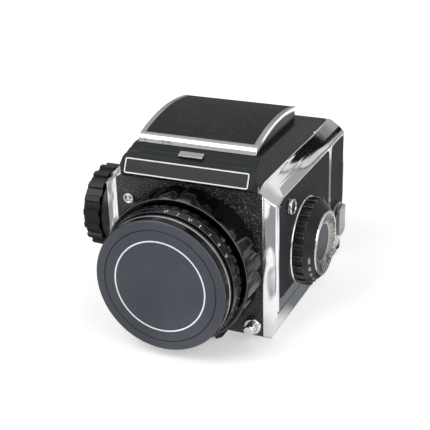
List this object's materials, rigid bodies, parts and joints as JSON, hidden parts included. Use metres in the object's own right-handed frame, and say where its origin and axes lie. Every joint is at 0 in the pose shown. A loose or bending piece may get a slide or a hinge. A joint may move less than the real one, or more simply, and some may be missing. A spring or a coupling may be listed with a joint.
{
  "type": "medium format film camera",
  "caption": "Boxy single lens reflex film camera with folding waist-level hood, capped lens, side dial, wind knob with crank and removable roll film magazine.",
  "frame": {"origin": "mouth of the tripod socket, on the underside's base plane", "axes": "-Z out of the tripod socket, -Y out of the lens, +X to the right of someone facing the lens"},
  "size_m": [0.1243, 0.151, 0.1044],
  "materials": {
    "chrome": "bright plated, polished",
    "satin_chrome": "satin plated",
    "leatherette": "black grained covering",
    "black_paint": "semi-gloss black enamel",
    "hood_paint": "satin dark green-black enamel",
    "black_anodised": "gloss black anodised",
    "cap_plastic": "matt dark grey",
    "glass": "coated optical glass",
    "screen_glass": "ground glass",
    "mirror": "front-silvered",
    "curtain_cloth": "rubberised silk",
    "steel": "plain steel",
    "brass": "turned brass",
    "spool_plastic": "moulded black",
    "blade_steel": "blackened spring steel"
  },
  "bodies": {
    "camera_body": {"body_shell": "chrome", "front_leather": "leatherette", "side_leathers": "leatherette", "base_plate": "satin_chrome", "base_screws": "steel", "tripod_bush": "steel", "film_gate": "black_paint", "shutter_curtain": "curtain_cloth", "shutter_rollers": "steel", "helicoid_base": "black_anodised", "release_collar": "chrome", "flash_terminal": "chrome", "strap_studs": "chrome", "dial_base_ring": "chrome", "knob_base_disc": "black_paint", "hood_base": "hood_paint", "lid_hinge_pin": "steel", "nameplate": "black_paint", "focusing_screen": "screen_glass", "screen_frame": "satin_chrome"},
    "mirror": {"mirror_frame": "black_paint", "mirror_glass": "mirror"},
    "focus_ring": {"focus_ring": "black_anodised"},
    "lens_unit": {"lens_barrel": "black_anodised", "iris_retainer": "black_anodised", "lens_glass": "glass", "front_ring": "black_anodised"},
    "aperture_ring": {"aperture_ring": "black_anodised"},
    "lens_cap": {"lens_cap": "cap_plastic"},
    "lens_lock": {"lens_lock_tab": "black_paint"},
    "release_button": {"release_button": "chrome"},
    "shutter_dial": {"shutter_dial": "black_paint", "dial_hub_ring": "chrome", "dial_disc": "leatherette"},
    "wind_knob": {"wind_knob": "black_paint"},
    "crank": {"crank_arm": "chrome"},
    "crank_handle": {"crank_handle": "black_paint"},
    "hood_catch": {"hood_catch": "satin_chrome"},
    "hood_lid": {"hood_lid": "black_paint", "lid_rim": "chrome", "lid_leather": "leatherette"},
    "magnifier": {"magnifier_frame": "black_paint", "magnifier_glass": "glass"},
    "front_panel": {"front_panel": "black_paint"},
    "dial_side_panel": {"dial_side_panel": "black_paint"},
    "knob_side_panel": {"knob_side_panel": "black_paint"},
    "magazine": {"magazine_shell": "chrome", "magazine_leathers": "leatherette", "pressure_plate": "steel", "door_pin": "steel"},
    "dark_slide": {"dark_slide": "steel"},
    "magazine_door": {"magazine_door": "black_paint"},
    "supply_spool": {"supply_spool": "spool_plastic"},
    "take_up_spool": {"take_up_spool": "spool_plastic"},
    "magazine_key": {"magazine_key": "chrome"},
    "iris_blade_1": {"iris_blade_1": "blade_steel"},
    "iris_blade_2": {"iris_blade_2": "blade_steel"},
    "iris_blade_3": {"iris_blade_3": "blade_steel"},
    "iris_blade_4": {"iris_blade_4": "blade_steel"},
    "iris_blade_5": {"iris_blade_5": "blade_steel"}
  },
  "joints": [
    {"name": "focus_turn", "type": "hinge", "parent": "camera_body", "child": "focus_ring", "pos_m": [0, -0.042, 0.0402], "axis": [0, -1, 0], "range_deg": [0, 270]},
    {"name": "lens_travel", "type": "slide", "parent": "camera_body", "child": "lens_unit", "axis": [0, -1, 0], "range_m": [0, 0.012]},
    {"name": "aperture_turn", "type": "hinge", "parent": "lens_unit", "child": "aperture_ring", "pos_m": [0, -0.042, 0.0402], "axis": [0, -1, 0], "range_deg": [0, 60]},
    {"name": "iris_blade_1_turn", "type": "hinge", "parent": "lens_unit", "child": "iris_blade_1", "pos_m": [0, -0.052, 0.0612], "axis": [0, 1, 0], "range_deg": [0, 34]},
    {"name": "iris_blade_2_turn", "type": "hinge", "parent": "lens_unit", "child": "iris_blade_2", "pos_m": [0.01997, -0.052, 0.04669], "axis": [0, 1, 0], "range_deg": [0, 34]},
    {"name": "iris_blade_3_turn", "type": "hinge", "parent": "lens_unit", "child": "iris_blade_3", "pos_m": [0.01234, -0.052, 0.02321], "axis": [0, 1, 0], "range_deg": [0, 34]},
    {"name": "iris_blade_4_turn", "type": "hinge", "parent": "lens_unit", "child": "iris_blade_4", "pos_m": [-0.01234, -0.052, 0.02321], "axis": [0, 1, 0], "range_deg": [0, 34]},
    {"name": "iris_blade_5_turn", "type": "hinge", "parent": "lens_unit", "child": "iris_blade_5", "pos_m": [-0.01997, -0.052, 0.04669], "axis": [0, 1, 0], "range_deg": [0, 34]},
    {"name": "cap_pull", "type": "slide", "parent": "lens_unit", "child": "lens_cap", "axis": [0, -1, 0], "range_m": [0, 0.03]},
    {"name": "lock_turn", "type": "hinge", "parent": "camera_body", "child": "lens_lock", "pos_m": [0, -0.042, 0.0402], "axis": [0, -1, 0], "range_deg": [0, 10], "stiffness_Nm_per_rad": 0.02},
    {"name": "release_press", "type": "slide", "parent": "camera_body", "child": "release_button", "axis": [0, 1, 0], "range_m": [0, 0.003], "stiffness_N_per_m": 600},
    {"name": "mirror_fall", "type": "hinge", "parent": "camera_body", "child": "mirror", "pos_m": [0, -0.0282, 0.0124], "axis": [-1, 0, 0], "range_deg": [0, 45], "stiffness_Nm_per_rad": 0.05, "springref_deg": -28.65},
    {"name": "dial_turn", "type": "hinge", "parent": "camera_body", "child": "shutter_dial", "pos_m": [0.048, -0.0019, 0.0401], "axis": [1, 0, 0], "range_deg": [0, 300]},
    {"name": "knob_turn", "type": "hinge", "parent": "camera_body", "child": "wind_knob", "pos_m": [-0.052, -0.0195, 0.0519], "axis": [-1, 0, 0], "continuous": true},
    {"name": "crank_fold", "type": "hinge", "parent": "wind_knob", "child": "crank", "pos_m": [-0.0628, -0.0195, 0.0399], "axis": [0, -1, 0], "range_deg": [0, 180]},
    {"name": "handle_turn", "type": "hinge", "parent": "crank", "child": "crank_handle", "pos_m": [-0.06, -0.0195, 0.0629], "axis": [-1, 0, 0], "continuous": true},
    {"name": "catch_slide", "type": "slide", "parent": "camera_body", "child": "hood_catch", "axis": [1, 0, 0], "range_m": [0, 0.003], "stiffness_N_per_m": 300},
    {"name": "lid_open", "type": "hinge", "parent": "camera_body", "child": "hood_lid", "pos_m": [0, 0.0286, 0.096], "axis": [-1, 0, 0], "range_deg": [0, 90]},
    {"name": "magnifier_level", "type": "hinge", "parent": "hood_lid", "child": "magnifier", "pos_m": [0, 0.0016, 0.0956], "axis": [1, 0, 0], "range_deg": [0, 90]},
    {"name": "front_panel_rise", "type": "hinge", "parent": "camera_body", "child": "front_panel", "pos_m": [0, -0.0274, 0.0912], "axis": [1, 0, 0], "range_deg": [0, 90]},
    {"name": "dial_side_panel_rise", "type": "hinge", "parent": "camera_body", "child": "dial_side_panel", "pos_m": [0.0276, -0.002, 0.0886], "axis": [0, 1, 0], "range_deg": [0, 90]},
    {"name": "knob_side_panel_rise", "type": "hinge", "parent": "camera_body", "child": "knob_side_panel", "pos_m": [-0.0276, -0.002, 0.0886], "axis": [0, -1, 0], "range_deg": [0, 90]},
    {"name": "magazine_slide_off", "type": "slide", "parent": "camera_body", "child": "magazine", "axis": [0, 1, 0], "range_m": [0, 0.04]},
    {"name": "dark_slide_pull", "type": "slide", "parent": "magazine", "child": "dark_slide", "axis": [-1, 0, 0], "range_m": [0, 0.078]},
    {"name": "door_open", "type": "hinge", "parent": "magazine", "child": "magazine_door", "pos_m": [-0.0456, 0.0699, 0.04], "axis": [0, 0, 1], "range_deg": [0, 110]},
    {"name": "supply_turn", "type": "hinge", "parent": "magazine", "child": "supply_spool", "pos_m": [0, 0.0591, 0.0149], "axis": [1, 0, 0], "continuous": true},
    {"name": "take_up_turn", "type": "hinge", "parent": "magazine", "child": "take_up_spool", "pos_m": [0, 0.0591, 0.0685], "axis": [1, 0, 0], "continuous": true},
    {"name": "key_turn", "type": "hinge", "parent": "magazine", "child": "magazine_key", "pos_m": [0.05, 0.053, 0.029], "axis": [1, 0, 0], "continuous": true}
  ],
  "couplings": [
    {"joint": "lens_travel", "follows": "focus_turn", "m_per_rad": 0.002546},
    {"joint": "iris_blade_1_turn", "follows": "aperture_turn", "ratio": 0.56333},
    {"joint": "iris_blade_2_turn", "follows": "aperture_turn", "ratio": 0.56333},
    {"joint": "iris_blade_3_turn", "follows": "aperture_turn", "ratio": 0.56333},
    {"joint": "iris_blade_4_turn", "follows": "aperture_turn", "ratio": 0.56333},
    {"joint": "iris_blade_5_turn", "follows": "aperture_turn", "ratio": 0.56333},
    {"joint": "magnifier_level", "follows": "lid_open", "ratio": 1},
    {"joint": "front_panel_rise", "follows": "lid_open", "ratio": 1},
    {"joint": "dial_side_panel_rise", "follows": "lid_open", "ratio": 1},
    {"joint": "knob_side_panel_rise", "follows": "lid_open", "ratio": 1},
    {"joint": "key_turn", "follows": "take_up_turn", "ratio": 1}
  ]
}
